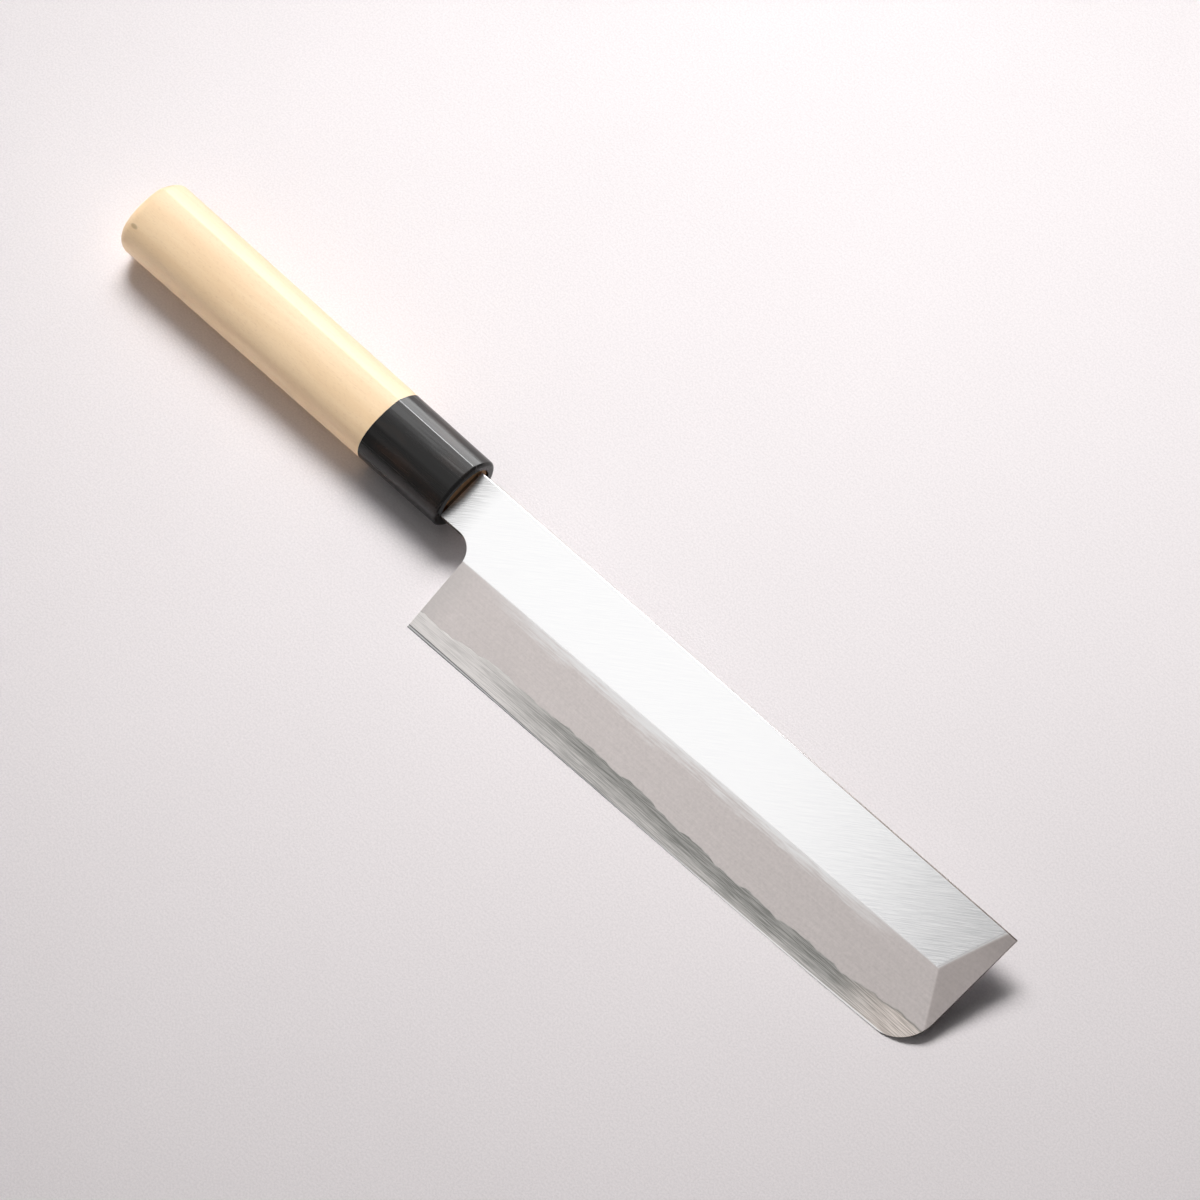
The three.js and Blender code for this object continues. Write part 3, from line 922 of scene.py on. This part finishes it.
def handle_section(x, inset, ridge_rounding):
    """Ring of the handle: oval back, facet towards the spine, rounded ridge, broad crowned face."""
    share = -x / handle_length
    half_height = lerp(FERRULE_HEIGHT, BUTT_HEIGHT, share) / 2 - inset
    half_thickness = lerp(FERRULE_THICKNESS, BUTT_THICKNESS, share) / 2 - inset
    ridge = (2 * RIDGE_OFFSET / FERRULE_HEIGHT, 2 * RIDGE_RISE / FERRULE_THICKNESS)
    cut = ridge_rounding / half_height
    outline = []
    for step in range(OVAL_STEPS):
        turn = math.pi * (1 + step / OVAL_STEPS)
        outline.append((math.cos(turn), math.sin(turn)))
    for step in range(FACET_STEPS):
        outline.append(bezier((1, 0), SPINE_SIDE_PULL, FACET_PULL, ridge, step / FACET_STEPS * (1 - cut)))
    before = bezier((1, 0), SPINE_SIDE_PULL, FACET_PULL, ridge, 1 - cut)
    after = bezier(ridge, CROWN_PULL, EDGE_SIDE_PULL, (-1, 0), cut / 2)
    for step in range(RIDGE_STEPS):
        outline.append(bezier(before, ridge, ridge, after, step / RIDGE_STEPS))
    for step in range(CROWN_STEPS):
        share = lerp(cut / 2, 1, step / CROWN_STEPS)
        outline.append(bezier(ridge, CROWN_PULL, EDGE_SIDE_PULL, (-1, 0), share))
    return [(x, u * half_height, v * half_thickness) for u, v in outline]


def turned(ring, x, half_height, half_thickness, middle=0.0):
    """Oval ring with its points at the same turns as another ring's."""
    points = []
    for _, y, z in ring:
        turn = math.atan2(z, y)
        points.append((x, half_height * math.cos(turn), middle + half_thickness * math.sin(turn)))
    return points


def squared(ring, x, half_height, half_thickness, middle):
    """Rectangular ring with its points at the same turns as another ring's."""
    points = []
    for _, y, z in ring:
        turn = math.atan2(z, y)
        reach = 1 / max(abs(math.cos(turn)) / half_height, abs(math.sin(turn)) / half_thickness)
        points.append((x, reach * math.cos(turn), middle + reach * math.sin(turn)))
    for u, v in ((1, 1), (1, -1), (-1, 1), (-1, -1)):
        corner = Vector((x, u * half_height, middle + v * half_thickness))
        nearest = min(range(len(points)), key=lambda number: (Vector(points[number]) - corner).length)
        points[nearest] = tuple(corner)
    return points


def placed(ring):
    return [tuple(handle_place @ Vector(point)) for point in ring]


def wooden_handle():
    """Grip with its rounded butt, the tenon for the ferrule and the slot for the tang."""
    grip, scorched = range(2)
    skin = Skin()
    butt = -handle_length
    shoulder = -FERRULE_LENGTH - JOINT_GAP
    rings = []
    rim = handle_section(butt, BUTT_ROUNDING, WOOD_RIDGE_ROUNDING)
    for reach in BUTT_REACHES:
        rings.append([(x, y * reach, z * reach) for x, y, z in rim])
    for step in range(ROUNDING_STEPS + 1):
        turn = math.pi / 2 * step / ROUNDING_STEPS
        x = butt + BUTT_ROUNDING * (1 - math.cos(turn))
        rings.append(handle_section(x, BUTT_ROUNDING * (1 - math.sin(turn)), WOOD_RIDGE_ROUNDING))
    for step in range(1, HANDLE_STEPS + 1):
        x = lerp(butt + BUTT_ROUNDING, shoulder, step / HANDLE_STEPS)
        rings.append(handle_section(x, 0, WOOD_RIDGE_ROUNDING))
    tenon_height = BORE_HEIGHT / 2 - TENON_CLEARANCE
    tenon_thickness = BORE_THICKNESS / 2 - TENON_CLEARANCE
    outer = rings[-1]
    grip_gaps = len(rings)
    rings.append(turned(outer, shoulder, tenon_height, tenon_thickness))
    rings.append(turned(outer, -TENON_RECESS, tenon_height, tenon_thickness))
    for x in (-TENON_RECESS, -TANG_LENGTH - TANG_CLEARANCE):
        rings.append(squared(outer, x, *tang_half_sizes(x, TANG_CLEARANCE), tang_middle))
    made = skin.points([placed(ring) for ring in rings])
    tenon_gaps = len(rings) - 1 - grip_gaps
    skin.loft(made, [grip] * grip_gaps + [scorched] * tenon_gaps)
    skin.face(made[0], grip)
    skin.face(made[-1], scorched)
    return skin.piece("ho_wood_grip", (pale_wood(), scorched_wood()), knife_place)


def horn_ferrule():
    """Horn ring with rounded front rims and the bore for the tenon."""
    skin = Skin()
    rings = []
    for step in range(FERRULE_STEPS + 1):
        x = lerp(-FERRULE_LENGTH, -FERRULE_ROUNDING, step / FERRULE_STEPS)
        rings.append(handle_section(x, 0, HORN_RIDGE_ROUNDING))
    for step in range(1, ROUNDING_STEPS + 1):
        turn = math.pi / 2 * step / ROUNDING_STEPS
        x = FERRULE_ROUNDING * (math.sin(turn) - 1)
        rings.append(handle_section(x, FERRULE_ROUNDING * (1 - math.cos(turn)), HORN_RIDGE_ROUNDING))
    outer = rings[-1]
    for step in range(ROUNDING_STEPS + 1):
        turn = math.pi / 2 * step / ROUNDING_STEPS
        flare = BORE_ROUNDING * (1 - math.sin(turn))
        x = BORE_ROUNDING * (math.cos(turn) - 1)
        rings.append(turned(outer, x, BORE_HEIGHT / 2 + flare, BORE_THICKNESS / 2 + flare))
    rings.append(turned(outer, -FERRULE_LENGTH, BORE_HEIGHT / 2, BORE_THICKNESS / 2))
    made = skin.points([placed(ring) for ring in rings])
    skin.loft(made + made[:1], [0] * len(made))
    return skin.piece("horn_ring", (dark_horn(),), knife_place)


iron = soft_iron_body()
steel = hard_steel_layer()
wood = wooden_handle()
horn = horn_ferrule()
for piece, node, slot in (
    (iron, "soft_iron_body", "soft_iron"),
    (steel, "hard_steel_layer", "hard_steel"),
    (wood, "wooden_handle", "pale_wood"),
    (horn, "horn_ferrule", "dark_horn"),
):
    weigh_normals(piece)
    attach(piece, "root")
    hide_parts(node)

# Table
TABLE_HALF = 3.0
table_mesh = bpy.data.meshes.new("table")
table_corners = [(-TABLE_HALF, -TABLE_HALF, 0), (TABLE_HALF, -TABLE_HALF, 0)]
table_corners += [(TABLE_HALF, TABLE_HALF, 0), (-TABLE_HALF, TABLE_HALF, 0)]
table_mesh.from_pydata(table_corners, [], [(0, 1, 2, 3)])
table_mesh.materials.append(table_paper())
table = bpy.data.objects.new("table", table_mesh)
bpy.context.scene.collection.objects.link(table)


# Light
def area_lamp(name, location, target, size, power, spread=180.0, glossy=True, diffuse=True):
    """Rectangular lamp, in metres and watts.

    With glossy off no surface mirrors it, and with diffuse off it shows only as a reflection.
    """
    lamp = bpy.data.lights.new(name, "AREA")
    lamp.shape = "RECTANGLE"
    lamp.size, lamp.size_y = size
    lamp.energy = power
    lamp.spread = math.radians(spread)
    holder = bpy.data.objects.new(name, lamp)
    holder.location = location
    holder.rotation_euler = (Vector(target) - Vector(location)).to_track_quat("-Z", "Y").to_euler()
    holder.visible_camera = False
    holder.visible_glossy = glossy
    holder.visible_diffuse = diffuse
    bpy.context.scene.collection.objects.link(holder)


# The key casts the shadows and the fill lifts them. The flat and the bevel mirror the softbox and the
# front card, and the ridges of the horn and the wood mirror the sheen, the rim and the back card.
KEY_SPREAD = 60.0
area_lamp("key", (-0.515, 0.56, 0.842), (0.05, 0.1, 0.0), (0.77, 0.385), 2.45, KEY_SPREAD, glossy=False)
area_lamp("sheen", (-0.45, 0.57, 1.0), (-0.06, 0.0, 0.0), (0.6, 0.5), 3.6, diffuse=False)
area_lamp("rim", (-0.42, 0.9, 0.56), (-0.1, 0.0, 0.0), (0.3, 0.3), 9.0, diffuse=False)
area_lamp("back_card", (-0.51, 0.95, 0.18), (-0.1, 0.0, 0.02), (0.6, 0.46), 4.6, diffuse=False)
area_lamp("softbox", (-0.392, 0.0, 1.0), (-0.392, 0.0, 0.0), (0.616, 0.6), 0.84)
area_lamp("front_card", (-0.13, -0.65, 1.0), (0.0, -0.03, 0.0), (0.86, 0.6), 0.76)
area_lamp("fill", (-0.7, -1.5, 0.15), (-0.1, 0.0, 0.02), (1.2, 0.25), 7.0, glossy=False)

# Grey room, for reflections and the far background only
ROOM_LIGHT = (0.35, 0.345, 0.35)
world = bpy.data.worlds.new("room")
bpy.context.scene.world = world
world.cycles_visibility.diffuse = False
world.use_nodes = True
world.node_tree.nodes["Background"].inputs["Color"].default_value = (*ROOM_LIGHT, 1.0)

# Camera at the photograph's angle
CAMERA_AZIMUTH = math.radians(44.11)
CAMERA_ELEVATION = math.radians(60.92)
CAMERA_TARGET = Vector((10.98, 17.53, 0.0)) * MM
CAMERA_DISTANCE = 1.55669
CAMERA_LENS = 162.5
CAMERA_SENSOR = 36.0
camera_data = bpy.data.cameras.new("camera")
camera_data.lens = CAMERA_LENS
camera_data.sensor_width = CAMERA_SENSOR
camera = bpy.data.objects.new("camera", camera_data)
towards = Vector(
    (
        math.sin(CAMERA_AZIMUTH) * math.cos(CAMERA_ELEVATION),
        -math.cos(CAMERA_AZIMUTH) * math.cos(CAMERA_ELEVATION),
        math.sin(CAMERA_ELEVATION),
    )
)
camera.location = CAMERA_TARGET + towards * CAMERA_DISTANCE
camera.rotation_euler = (-towards).to_track_quat("-Z", "Y").to_euler()
bpy.context.scene.collection.objects.link(camera)
bpy.context.scene.camera = camera
bpy.context.scene.view_settings.view_transform = "Standard"

bpy.context.view_layer.update()
